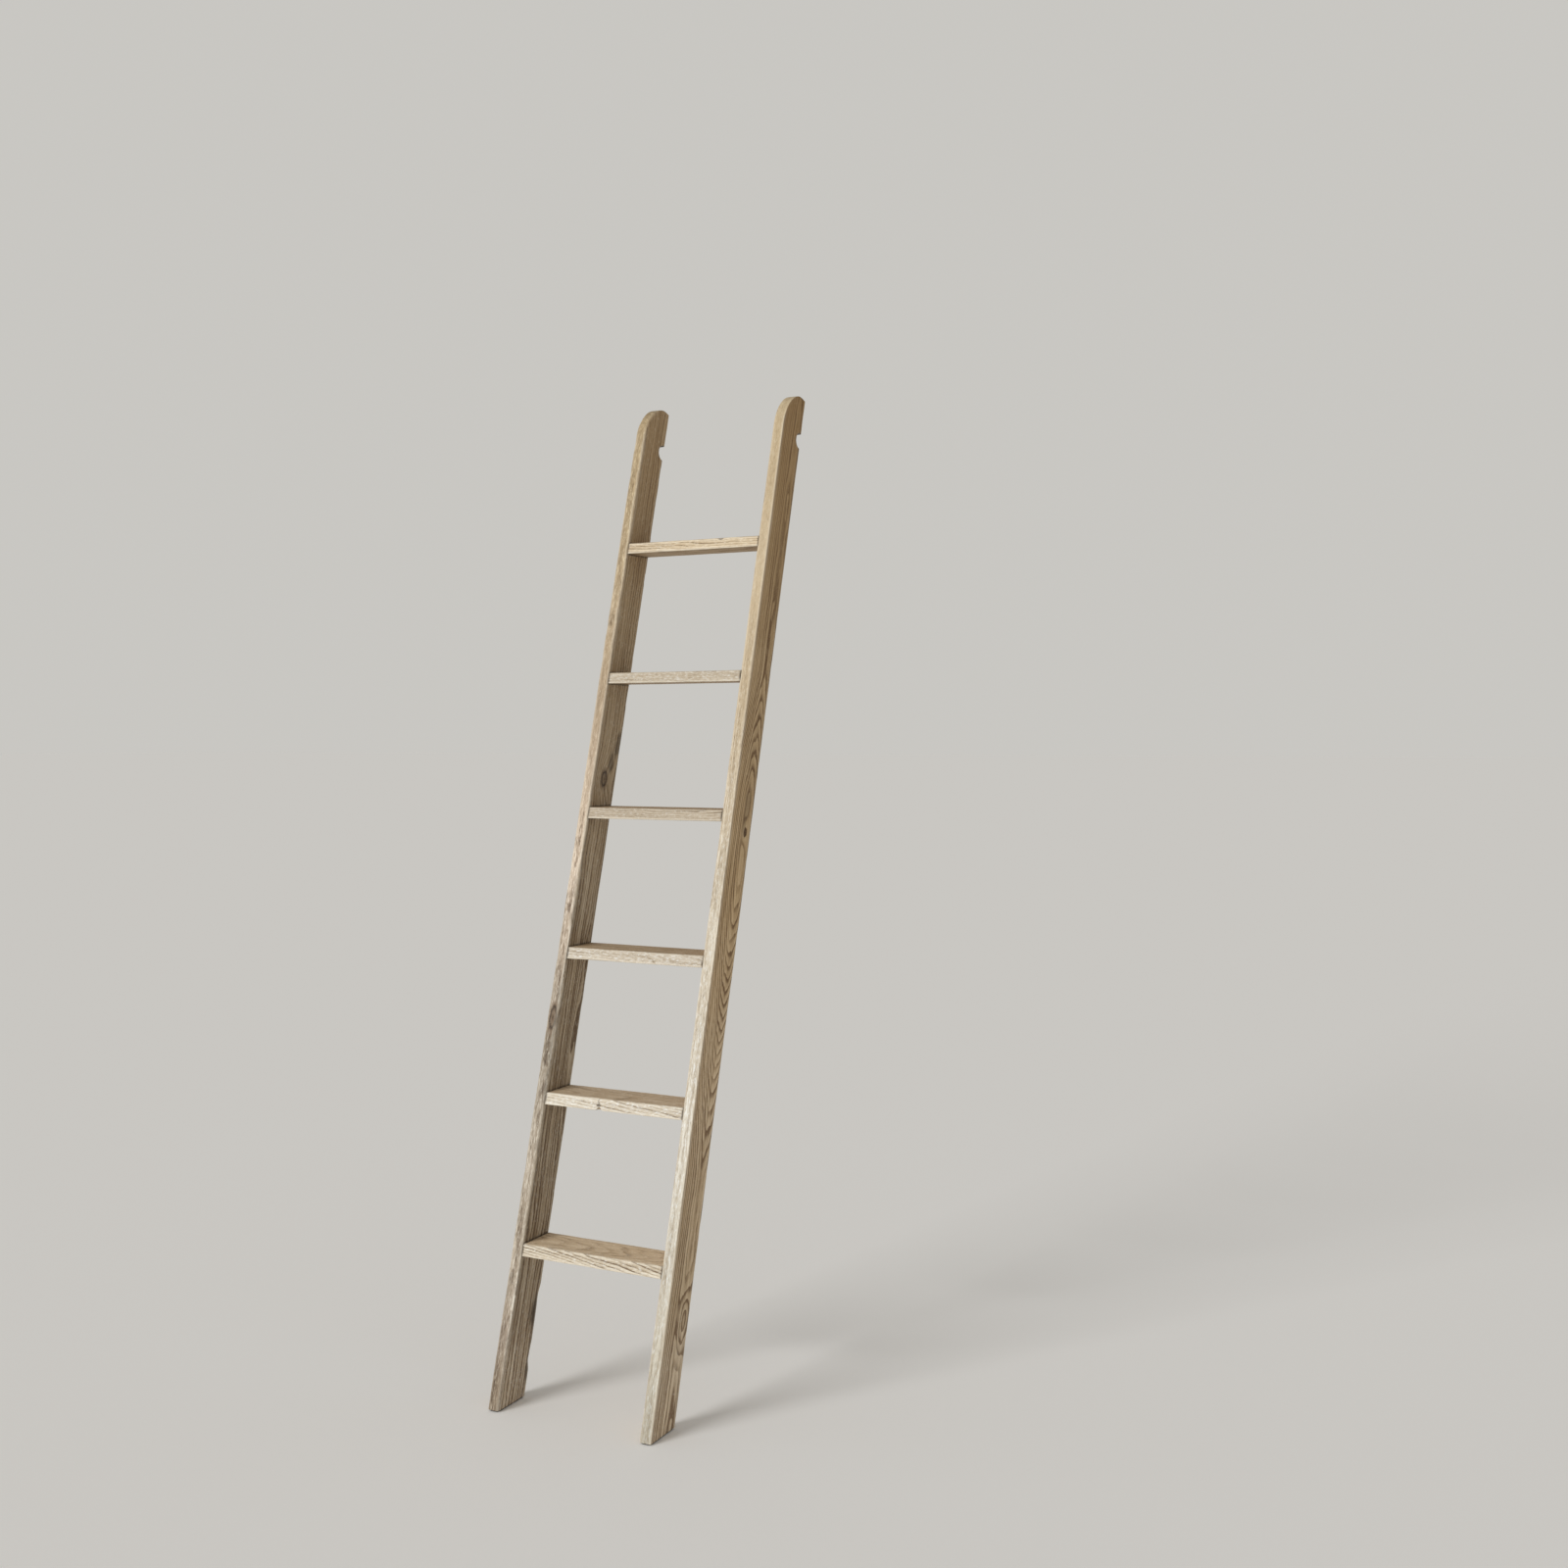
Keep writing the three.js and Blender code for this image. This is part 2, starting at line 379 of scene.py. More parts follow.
def bore_mesh(name, dowels, inner_x, end_x):
    """One closed cylinder for each dowel, from inner_x to end_x."""
    angles = np.linspace(0, 2 * math.pi, BORE_SIDES, endpoint=False)
    vertices, faces = [], []
    for dowel in dowels:
        low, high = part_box(dowel)
        middle = (low + high) / 2
        base = len(vertices)
        for x in (inner_x, end_x):
            for angle in angles:
                y = middle.y + BORE_RADIUS * math.cos(angle)
                z = middle.z + BORE_RADIUS * math.sin(angle)
                vertices.append((x, y, z))
        near_end = list(range(base, base + BORE_SIDES))
        far_end = [i + BORE_SIDES for i in near_end]
        faces += [near_end[::-1], far_end]
        for i in range(BORE_SIDES):
            j = (i + 1) % BORE_SIDES
            faces.append([near_end[i], near_end[j], far_end[j], far_end[i]])
    mesh = bpy.data.meshes.new(name)
    mesh.from_pydata(vertices, [], faces)
    return mesh


def fix_normals(mesh):
    made = bmesh.new()
    made.from_mesh(mesh)
    bmesh.ops.recalc_face_normals(made, faces=made.faces)
    made.to_mesh(mesh)
    made.free()


def cut_bores(mesh, cutters):
    """The mesh with the cutters' cylinders taken out, smooth but for its sharp edges."""
    fix_normals(mesh)
    board = add_object("board_uncut", mesh)
    tools = []
    for cutter in cutters:
        fix_normals(cutter)
        tool = add_object(cutter.name, cutter)
        cut = board.modifiers.new("bores", "BOOLEAN")
        cut.operation = "DIFFERENCE"
        cut.solver = "EXACT"
        cut.object = tool
        tools.append(tool)
    graph = bpy.context.evaluated_depsgraph_get()
    made = bpy.data.meshes.new_from_object(board.evaluated_get(graph), depsgraph=graph)
    for spare in [board, *tools]:
        bpy.data.objects.remove(spare)
    for polygon in made.polygons:
        polygon.use_smooth = True
    made.set_sharp_from_angle(angle=SHARP_ANGLE)
    return made


# ---- Materials ----


class Tree:
    """Short calls that add nodes to one material."""

    def __init__(self, name):
        self.material = bpy.data.materials.new(name)
        self.material.use_nodes = True
        self.nodes = self.material.node_tree.nodes
        self.links = self.material.node_tree.links
        self.nodes.clear()

    def place(self):
        """Metres in the row frame."""
        return self.add("ShaderNodeTexCoord").outputs["Object"]

    def put(self, socket, value):
        if isinstance(value, bpy.types.NodeSocket):
            self.links.new(value, socket)
        elif isinstance(value, tuple) and len(value) == 3 and len(socket.default_value) == 4:
            socket.default_value = (*value, 1)
        else:
            socket.default_value = value

    def add(self, kind, inputs=None, **settings):
        node = self.nodes.new(kind)
        for key, value in settings.items():
            setattr(node, key, value)
        for key, value in (inputs or {}).items():
            self.put(node.inputs[key], value)
        return node

    def math(self, operation, *values, clamp=False):
        node = self.add("ShaderNodeMath", operation=operation, use_clamp=clamp)
        for socket, value in zip(node.inputs, values):
            self.put(socket, value)
        return node.outputs[0]

    def times(self, *values):
        total = values[0]
        for value in values[1:]:
            total = self.math("MULTIPLY", total, value)
        return total

    def plus(self, *values):
        total = values[0]
        for value in values[1:]:
            total = self.math("ADD", total, value)
        return total

    def swing(self, value, reach):
        """A noise value as a swing about 0, reach being its full width."""
        return self.math("MULTIPLY", self.math("SUBTRACT", value, 0.5), reach)

    def vector(self, operation, *values):
        node = self.add("ShaderNodeVectorMath", operation=operation)
        if operation == "SCALE":
            self.put(node.inputs[0], values[0])
            self.put(node.inputs["Scale"], values[1])
        else:
            for socket, value in zip(node.inputs, values):
                self.put(socket, value)
        return node.outputs["Value" if operation in ("LENGTH", "DOT_PRODUCT") else "Vector"]

    def join(self, x, y, z):
        return self.add("ShaderNodeCombineXYZ", {"X": x, "Y": y, "Z": z}).outputs[0]

    def split(self, vector):
        return self.add("ShaderNodeSeparateXYZ", {"Vector": vector}).outputs

    def noise(self, vector, detail=2, roughness=0.5):
        inputs = {"Vector": vector, "Scale": 1, "Detail": detail, "Roughness": roughness}
        return self.add("ShaderNodeTexNoise", inputs).outputs

    def range(self, value, low, high, to_low=0, to_high=1, kind="SMOOTHSTEP"):
        limits = {"From Min": low, "From Max": high, "To Min": to_low, "To Max": to_high}
        inputs = {"Value": value, **limits}
        return self.add("ShaderNodeMapRange", inputs, interpolation_type=kind).outputs[0]

    def ramp(self, value, stops):
        node = self.add("ShaderNodeValToRGB", {"Fac": value})
        ramp = node.color_ramp
        while len(ramp.elements) < len(stops):
            ramp.elements.new(0.5)
        while len(ramp.elements) > len(stops):
            ramp.elements.remove(ramp.elements[-1])
        for element, (place, colour) in zip(ramp.elements, stops):
            element.position = place
            level = colour if isinstance(colour, tuple) else (colour,) * 3
            element.color = (*level, 1)
        return node.outputs["Color"]

    def mix(self, factor, first, second, blend="MIX"):
        node = self.add("ShaderNodeMix", data_type="RGBA", blend_type=blend)
        self.put(node.inputs["Factor"], factor)
        self.put(node.inputs[6], first)
        self.put(node.inputs[7], second)
        return node.outputs[2]

    def tinted(self, colour, tint):
        return self.mix(1, colour, tint, "MULTIPLY")

    def finish(self, colour, roughness, height, relief, **constants):
        bump = self.add("ShaderNodeBump", {"Strength": 1, "Distance": relief, "Height": height})
        shader = self.add("ShaderNodeBsdfPrincipled")
        self.put(shader.inputs["Base Color"], colour)
        self.put(shader.inputs["Roughness"], roughness)
        self.links.new(bump.outputs["Normal"], shader.inputs["Normal"])
        for key, value in constants.items():
            shader.inputs[key.replace("_", " ")].default_value = value
        output = self.add("ShaderNodeOutputMaterial")
        self.links.new(shader.outputs[0], output.inputs["Surface"])
        return self.material


def grow(colour, factor):
    return tuple(channel * factor for channel in colour)


# Linear colours of the wood and of what is on it.
PALE = (0.60, 0.505, 0.375)
MIDDLE = (0.43, 0.335, 0.225)
DARK = (0.17, 0.112, 0.066)
LIME = (0.76, 0.72, 0.64)
# Pale arrises: partly real wear, partly painted highlight.
PALE_WEAR_HIGHLIGHT = (0.72, 0.655, 0.54)
KNOT = (0.15, 0.092, 0.050)
CRACK = (0.018, 0.012, 0.008)
STAIN = grow(DARK, 0.3)
# Painted shade for the corners where the treads meet the stiles.
JOINT_SHADE = grow(DARK, 0.4)
PORE_SHADE = (0.42, 0.38, 0.34)  # multiplies the colour of the open pores on a limed front
# Painted shadow in the notch, where the rail sits.
NOTCH_SHADOW_BLACK = (0.035, 0.026, 0.022)
END_GRAIN = (0.74, 0.73, 0.72)  # multiplies the colour of end grain
GREY_WEIGHTS = (0.3, 0.6, 0.1)  # of red, green and blue
TONE_WEIGHTS = (0.3, 0.4, 0.3)

# Sizes of the wood's noise, as (width, length) in metres.
LOG = (0.09, 0.55)
RIPPLE = (0.022, 0.10)
FINE_RIPPLE = (0.006, 0.03)
RING_PATCHES = (0.03, 0.16)
FIBRES = (0.0016, 0.05)
PORES = (0.0013, 0.013)
FINE_PORES = (0.0005, 0.004)
FLECKS = (0.0021, 0.0093)
CLOUDS = (0.05, 0.12)
STAIN_EDGES = (0.02, 0.05)
CHALK_GRAIN = (0.004, 0.012)
KNOT_EDGES = (0.006, 0.012)
JOINT_PATCHES = (0.012, 0.012)

FINE_RIPPLE_REACH = 0.0018  # m
KNOT_PULL = 2.6  # the rings bend round a knot over this many times its size
KNOT_CRUMBS = (500, 500, 260)  # per metre, the breaks in the crack round a knot

# Where the limed front ends, with its partly painted light: behind a tread's front in metres, and
# by a stile's normal.
TREAD_FRONT_FADE = (1.2 * MM, 3.5 * MM)
SIDEWAYS_FADE = (0.45, 0.8)
BACKWARDS_FADE = (0.3, 0.6)
OUTER_FADE = (0.162, 0.178)  # m, across the right stile towards its outer face

JOINT_SHADE_REACH = 4.5 * MM  # how far the painted shade reaches out of a corner
NOTCH_SHADOW_REACH = 2.6 * MM  # how far the painted shadow round the rail's seat reaches beyond the notch
CROWN_WEAR_HIGHLIGHT_FADE = (2.02, 2.06)  # m along the stile, where the pale wear and painted highlight of the arrises fade

# Across one growth ring: the dark line of pores, and the pale wood up to the next one.
RING_PROFILE = [(0, 0), (0.07, 1), (0.26, 0.8), (0.48, 0.22), (0.85, 0.04), (1, 0)]

# From the middle of a knot to its edge: the dark heart, and the crack round it.
KNOT_CRACKS = [(0, 0.9), (0.25, 0.1), (0.5, 0.12), (0.78, 0.8), (0.98, 0.25), (1, 0)]

# What a board has where its own values don't say.
WOOD = {
    "taper": 0.012,  # how much the rings drift across the board, per length
    "spacing": 5,  # mm between rings
    "wander": 0.045,  # m, slow sideways wander of the whole log
    "ripple": 0.011,  # m, waves in the rings
    "contrast": 0.8,  # how dark the ring lines are, off the front
    "front_contrast": 0.8,
    "bleach": 0,  # how much paler the front is
    "grey": 0,  # how far the front's brown is turned grey, partly limed finish and partly painted light
    "fibre": 0.7,
    "streak": 0.7,
    "bands": (0.009, 0.35),  # m, width and length of the streaks
    "pores": 0.5,
    "flecks": 0.3,
    "speckle": 0.6,  # lime and open pores on the front
    "relief": 0.35,  # mm
    "calm": (9, 10),  # m along the stile over which the marks fade by half
    "grit": (0.0030, 0.0085),  # m, width and length of the speckle
    "start": 0,
    "reach": 2.1,  # m of board that the tones run over
    "figures": [],
    "flames": [],
    "knots": [],
    "stains": [],
    "chalk": [],
}


class Wood:
    """The solid wood of one board, in its own coordinates: x, d and s.

    Growth rings run round a wandering pith, with fibres, pores and knots. The fronts are limed, and
    their paler, greyer tone is partly painted light.
    """

    def __init__(self, name, board):
        self.t = Tree(name)
        self.board = {**WOOD, **board}
        t = self.t
        place = t.vector("SUBTRACT", t.place(), (0, FRONT_AT_FLOOR, 0))
        turn = {"Vector": place, "Angle": LEAN}
        self.own = t.add("ShaderNodeVectorRotate", turn, rotation_type="X_AXIS").outputs[0]
        self.x, self.d, self.s = t.split(self.own)
        self.upright = self.board["grain"] == "s"
        self.grain = self.own if self.upright else t.join(self.s, self.d, self.x)
        self.along = t.split(self.grain)[2]
        seed = self.board["seed"]
        self.shifted = t.vector("ADD", self.grain, (seed * 1.37, seed * 0.71, seed * 2.13))
        self.calm = t.range(self.s, *self.board["calm"], 1, 0.5)

    def noise(self, across, along, detail=2, roughness=0.5, output="Fac"):
        """Noise with features about across wide and along long, in metres."""
        stretched = self.t.vector("MULTIPLY", self.shifted, (1 / across, 1 / across, 1 / along))
        return self.t.noise(stretched, detail, roughness)[output]

    def wobble(self, across, along, reach):
        noise_colour = self.noise(across, along, output="Color")
        swing = self.t.vector("SUBTRACT", noise_colour, (0.5, 0.5, 0.5))
        return self.t.vector("SCALE", swing, reach)

    def away(self, centre, widths, wobble=None):
        """Distance from centre, in widths. Both are in millimetres."""
        t = self.t
        own = self.own if wobble is None else t.vector("ADD", self.own, wobble)
        away = t.vector("SUBTRACT", own, grow(centre, MM))
        return t.vector("LENGTH", t.vector("MULTIPLY", away, tuple(1 / (w * MM) for w in widths)))

    def near(self, centre, widths, wobble=None):
        """1 at centre, falling to 0 over widths."""
        squared = self.t.math("POWER", self.away(centre, widths, wobble), 2)
        return self.t.math("EXPONENT", self.t.times(squared, -1))

    def front_mask(self):
        """1 on the front, and on a stile's crown too, where the wood is limed and its paler, greyer
        colour is partly painted light.
        """
        t = self.t
        if not self.upright:
            return t.range(self.d, *TREAD_FRONT_FADE, 1, 0)
        normal = t.split(t.add("ShaderNodeTexCoord").outputs["Normal"])
        sideways = t.math("ABSOLUTE", normal[0])
        backwards = t.math("SUBTRACT", t.times(normal[1], COS), t.times(normal[2], SIN))
        not_a_side = t.range(sideways, *SIDEWAYS_FADE, 1, 0)
        return t.times(not_a_side, t.range(backwards, *BACKWARDS_FADE, 1, 0))

    def ring_lines(self):
        """0 in the pale wood, and up to 1 in the dark line of each ring."""
        t, board = self.t, self.board
        moved = t.vector("ADD", self.grain, self.wobble(*LOG, board["wander"]))
        from_pith = t.vector("MULTIPLY", t.vector("SUBTRACT", moved, board["pith"]), (1, 1, 0))
        distance = t.vector("LENGTH", from_pith)
        distance = t.math("MULTIPLY_ADD", self.along, board["taper"], distance)
        distance = t.plus(
            distance,
            t.swing(self.noise(*RIPPLE), board["ripple"]),
            t.swing(self.noise(*FINE_RIPPLE, detail=1), FINE_RIPPLE_REACH),
        )
        for centre, widths, height in board["figures"]:
            distance = t.math("MULTIPLY_ADD", self.near(centre, widths), height * MM, distance)
        for centre, widths, height in board["knots"]:
            bulge = self.near(centre, grow(widths, KNOT_PULL))
            distance = t.math("MULTIPLY_ADD", bulge, height * MM, distance)
        for low, high, height in board["flames"]:
            outer = t.range(self.x, *OUTER_FADE)
            climb = t.range(self.s, low, high, 0, height * MM)
            distance = t.math("MULTIPLY_ADD", outer, climb, distance)

        count = t.math("DIVIDE", distance, board["spacing"] * MM)
        line = t.ramp(t.math("FRACT", count), RING_PROFILE)
        number = t.math("FLOOR", count)
        chance = t.add("ShaderNodeTexWhiteNoise", {"W": number}, noise_dimensions="1D")
        strength = t.range(chance.outputs["Value"], 0, 1, 0.45, 1, "LINEAR")
        patches = t.range(self.noise(*RING_PATCHES), 0.3, 0.65, 0.55, 1)
        return t.times(line, strength, patches)

    def colour_and_height(self, front):
        """The wood's colour before its faces' tones, with its shade, height and fibre."""
        t, board = self.t, self.board
        line = self.ring_lines()
        fibre = self.noise(*FIBRES, detail=4, roughness=0.6)
        streak = self.noise(*board["bands"], detail=3)
        pore = t.range(self.noise(*PORES, roughness=0.6), 0.56, 0.68)
        pore = t.math("MULTIPLY", pore, t.math("MULTIPLY_ADD", line, 0.8, 0.25), clamp=True)
        contrast = t.range(front, 0, 1, board["contrast"], board["front_contrast"], "LINEAR")
        marks = t.plus(
            t.times(line, contrast),
            t.swing(fibre, board["fibre"]),
            t.swing(streak, board["streak"]),
            t.times(pore, board["pores"]),
        )
        marks = t.times(marks, self.calm)
        shade = t.math("ADD", marks, t.math("MULTIPLY_ADD", front, -board["bleach"], 0.30))
        colour = t.ramp(shade, [(0, PALE), (0.42, MIDDLE), (1, DARK)])
        fine_pore = t.range(self.noise(*FINE_PORES, detail=1), 0.58, 0.7)
        colour = t.mix(t.times(fine_pore, 0.2), colour, DARK)
        fleck = t.range(self.noise(*FLECKS), 0.57, 0.70)
        colour = t.mix(t.times(fleck, board["flecks"]), colour, LIME)
        height = t.math("MULTIPLY_ADD", fibre, 0.5, t.times(line, -0.45))
        height = t.math("MULTIPLY_ADD", pore, -0.7, height)
        return colour, shade, height, fibre

    def tone(self, front, cloud):
        """Each face's tone along the board: the pale, grey fronts and the warm brown sides are
        partly the limed finish and partly painted light, the light on the fronts and warm shade on
        the sides. Ramps stop at 1, so tones are halved there.
        """
        t, board = self.t, self.board
        level = t.math("MULTIPLY_ADD", self.along, 1 / board["reach"], board["start"])
        side_tone = t.ramp(level, board["side_tones"])
        front_tone = t.ramp(level, board["front_tones"])
        tone = t.vector("SCALE", t.mix(front, side_tone, front_tone), 2)
        tint = t.ramp(cloud, [(0.3, (0.94, 0.91, 0.87)), (0.7, (1, 1, 1))])
        return t.tinted(tone, tint)

    def speckled(self, colour, front):
        """Lime left in the open grain of the front face, broken up by dark pores."""
        t, board = self.t, self.board
        grit = self.noise(*board["grit"], detail=3, roughness=0.65)
        amount = t.times(front, self.calm, board["speckle"])
        pale = t.times(t.range(grit, 0.53, 0.66), amount)
        dark = t.times(t.range(grit, 0.47, 0.34), amount)
        level = t.vector("DOT_PRODUCT", colour, GREY_WEIGHTS)
        grey = t.join(level, level, level)
        colour = t.mix(t.times(front, board["grey"]), colour, grey)
        colour = t.mix(pale, colour, LIME)
        return t.mix(t.times(dark, 0.75), colour, t.tinted(colour, PORE_SHADE))

    def marked(self, colour):
        """Dark stains, pale chalky lines, and knots with cracks round their edges."""
        t, board = self.t, self.board
        crack = 0
        for centre, widths, darkness in board["stains"]:
            wobble = self.wobble(*STAIN_EDGES, 0.024)
            mask = t.range(self.near(centre, widths, wobble), 0.15, 0.6)
            colour = t.mix(t.times(mask, darkness), colour, STAIN)
        for centre, widths, paleness in board["chalk"]:
            mask = self.near(centre, widths, self.wobble(*STAIN_EDGES, 0.004))
            mask = t.times(mask, t.range(self.noise(*CHALK_GRAIN), 0.42, 0.58))
            colour = t.mix(t.times(mask, paleness), colour, LIME)
        for centre, widths, _ in board["knots"]:
            away = self.away(centre, widths, self.wobble(*KNOT_EDGES, 0.005))
            core = t.range(away, 0.9, 1.6, 1, 0)
            rim = t.ramp(away, KNOT_CRACKS)
            broken = t.noise(t.vector("MULTIPLY", self.shifted, KNOT_CRUMBS))["Fac"]
            rim = t.times(rim, t.range(broken, 0.30, 0.48))
            colour = t.mix(t.times(core, 0.62), colour, KNOT)
            colour = t.mix(rim, colour, CRACK)
            crack = t.math("MAXIMUM", crack, rim)
        return colour, crack

    def joints(self, colour):
        """Painted shade in the corners where the treads meet the stiles."""
        t = self.t
        sideways = t.math("ABSOLUTE", self.x)
        if self.upright:
            z = t.math("SUBTRACT", t.times(self.s, COS), t.times(self.d, SIN))
            from_lowest = t.math("SUBTRACT", z, TREAD_MIDDLE)
            from_tread = t.math("WRAP", from_lowest, TREAD_RISE / 2, -TREAD_RISE / 2)
            away = t.math("SUBTRACT", t.math("ABSOLUTE", from_tread), TREAD_HALF)
            highest = (TREAD_COUNT - 1) * TREAD_RISE
            corner_shade = t.times(
                t.range(away, 0, JOINT_SHADE_REACH, 1, 0),
                t.range(sideways, TREAD_END + 1.2 * MM, TREAD_END + 2.4 * MM, 1, 0),
                t.range(from_lowest, -TREAD_RISE / 4, -TREAD_RISE / 5),
                t.range(from_lowest, highest + TREAD_RISE / 5, highest + TREAD_RISE / 4, 1, 0),
            )
        else:
            corner_shade = t.range(sideways, TREAD_END - JOINT_SHADE_REACH, TREAD_END - 0.3 * MM)
        patchy = t.range(self.noise(*JOINT_PATCHES), 0.3, 0.6, 0.35, 0.8)
        return t.mix(t.times(corner_shade, patchy), colour, JOINT_SHADE)

    def ends(self, colour, cloud):
        """End grain at the foot and the crown is darker, and a painted shadow darkens the notch
        where the rail sits.
        """
        t = self.t
        normal = t.split(t.add("ShaderNodeTexCoord").outputs["Normal"])
        facing = t.math("MULTIPLY_ADD", normal[2], COS, t.times(normal[1], SIN))
        end = t.range(t.math("ABSOLUTE", facing), 0.35, 0.9)
        colour = t.mix(t.times(end, 0.75), colour, t.tinted(colour, END_GRAIN))
        # Painted shadow round the rail's seat in the notch.
        across = t.math("SUBTRACT", self.d, STILE_DEPTH - NOTCH_INSET)
        along = t.math("SUBTRACT", self.s, NOTCH_S)
        rail = t.vector("LENGTH", t.join(across, along, 0))
        notch_shadow = t.range(rail, NOTCH_RADIUS - 0.2 * MM, NOTCH_RADIUS + NOTCH_SHADOW_REACH, 1, 0)
        notch_shadow = t.times(notch_shadow, t.range(cloud, 0.2, 0.6, 0.75, 1), 0.85)
        return t.mix(notch_shadow, colour, NOTCH_SHADOW_BLACK)

    def build(self):
        """The finished material."""
        t, board = self.t, self.board
        front = self.front_mask()
        colour, shade, height, fibre = self.colour_and_height(front)
        cloud = self.noise(*CLOUDS, detail=3)
        colour = self.speckled(colour, front)
        tone = self.tone(front, cloud)
        colour = t.tinted(colour, tone)
        colour, crack = self.marked(colour)
        # Painted shade in the corners where the treads meet the stiles.
        colour = self.joints(colour)
        if self.upright:
            colour = self.ends(colour, cloud)

        # Arrises are painted pale: partly real wear, partly painted highlight along the arrises
        # that catch the light.
        wear = t.add("ShaderNodeAttribute", attribute_name="wear").outputs["Fac"]
        worn = t.times(wear, t.range(fibre, 0.3, 0.7, 0.55, 1))
        if self.upright:
            worn = t.times(worn, t.range(self.s, *CROWN_WEAR_HIGHLIGHT_FADE, 1, 0.25))
        light = t.math("MINIMUM", t.vector("DOT_PRODUCT", tone, TONE_WEIGHTS), 1)
        colour = t.mix(worn, colour, t.vector("SCALE", PALE_WEAR_HIGHLIGHT, light))

        roughness = t.range(t.times(shade, 0.7), 0, 0.9, 0.60, 0.86)
        height = t.math("MULTIPLY_ADD", crack, -1.5, height)
        return t.finish(colour, roughness, height, board["relief"] * MM, Specular_IOR_Level=0.3)


def tones(*stops):
    """Ramp stops from (millimetres along a stile, colour). Colours are halved, see Wood.tone."""
    return [(place * MM / WOOD["reach"], grow(colour, 0.5)) for place, colour in stops]


# Each board's own values. Places are (x, d, s) in millimetres.
BOARDS = {
    "left_stile": {
        "grain": "s", "seed": 3, "pith": (-0.168, -0.060, 0), "spacing": 9,
        "wander": 0.022, "ripple": 0.014, "contrast": 1.3, "front_contrast": 0.6, "grey": 0.35,
        "streak": 1.9, "bands": (0.013, 0.6), "flecks": 0.4, "pores": 0.7, "fibre": 0.9,
        "speckle": 0.95, "relief": 0.8, "calm": (0.85, 1.5), "grit": (0.0022, 0.018),
        "front_tones": tones(
            (40, (0.60, 0.55, 0.49)), (150, (0.73, 0.69, 0.67)),
            (250, (1.15, 1.15, 1.14)), (700, (0.63, 0.60, 0.56)), (1050, (1.25, 1.19, 1.16)),
            (1400, (0.95, 0.86, 0.74)), (1800, (1.11, 1.01, 0.78)), (2050, (0.92, 0.82, 0.61)),
        ),
        "side_tones": tones(
            (80, (1.32, 1.39, 1.52)), (150, (1.05, 1.07, 1.11)),
            (250, (1.00, 1.04, 1.09)), (1000, (1.05, 1.06, 1.06)), (1500, (1.06, 1.03, 0.95)),
            (2000, (1.01, 0.90, 0.73)),
        ),
        "knots": [((-167, 0, 750), (8.5, 8, 27), 9), ((-156.5, 40, 1254), (12, 11, 19), 22)],
        "figures": [((-160, 0, 2067), (9, 12, 26), 11), ((-156.5, 62, 690), (30, 14, 180), 18),
                    ((-168, 0, 540), (10, 14, 60), 14), ((-168, 0, 1120), (10, 14, 90), 10)],
        "stains": [((-156.5, 84, 185), (60, 24, 34), 0.85), ((-156.5, 86, 105), (60, 13, 50), 0.8),
                   ((-156.5, 58, 1296), (20, 8, 24), 0.55), ((-156.5, 74, 1336), (20, 9, 28), 0.6),
                   ((-168, 0, 320), (30, 6, 130), 0.16)],
        "chalk": [((-160, 0, 215), (2, 6, 60), 1), ((-158, 0, 900), (2.5, 6, 300), 0.5)],
    },
    "right_stile": {
        "grain": "s", "seed": 8, "pith": (0.200, 0.061, 0), "taper": 0.010, "spacing": 6.5,
        "wander": 0.016, "ripple": 0.010, "contrast": 1.4, "front_contrast": 0.5, "bleach": 0.18,
        "streak": 1.3, "flecks": 0.2, "speckle": 0.45, "calm": (1.3, 1.75), "grit": (0.0024, 0.012),
        "front_tones": tones(
            (40, (0.84, 0.95, 1.08)), (150, (0.99, 1.12, 1.29)),
            (250, (1.03, 1.17, 1.37)), (600, (1.28, 1.48, 1.80)), (1000, (1.20, 1.31, 1.46)),
            (1400, (1.01, 1.01, 0.97)), (1800, (0.98, 0.95, 0.86)), (2050, (1.00, 0.98, 0.87)),
        ),
        "side_tones": tones(
            (80, (1.72, 1.80, 1.92)), (150, (1.63, 1.69, 1.78)),
            (250, (1.42, 1.39, 1.31)), (600, (1.52, 1.48, 1.40)), (1000, (1.37, 1.25, 1.02)),
            (1400, (1.32, 1.22, 1.02)), (1800, (1.04, 0.89, 0.65)), (2050, (0.90, 0.73, 0.49)),
        ),
        "knots": [((180.5, 60, 1152), (8, 4.5, 8.5), 9)],
        "figures": [((180.5, 63, 213), (40, 18, 62), 27)],
        "flames": [(0.45, 1.12, -130), (1.20, 1.50, 36)],
        "stains": [((180.5, 53, 1190), (20, 9, 45), 0.28)],
    },
}

TREAD_REACH = 0.32
CHIPPED_TREAD = 2  # a small bite is out of its lower front arris

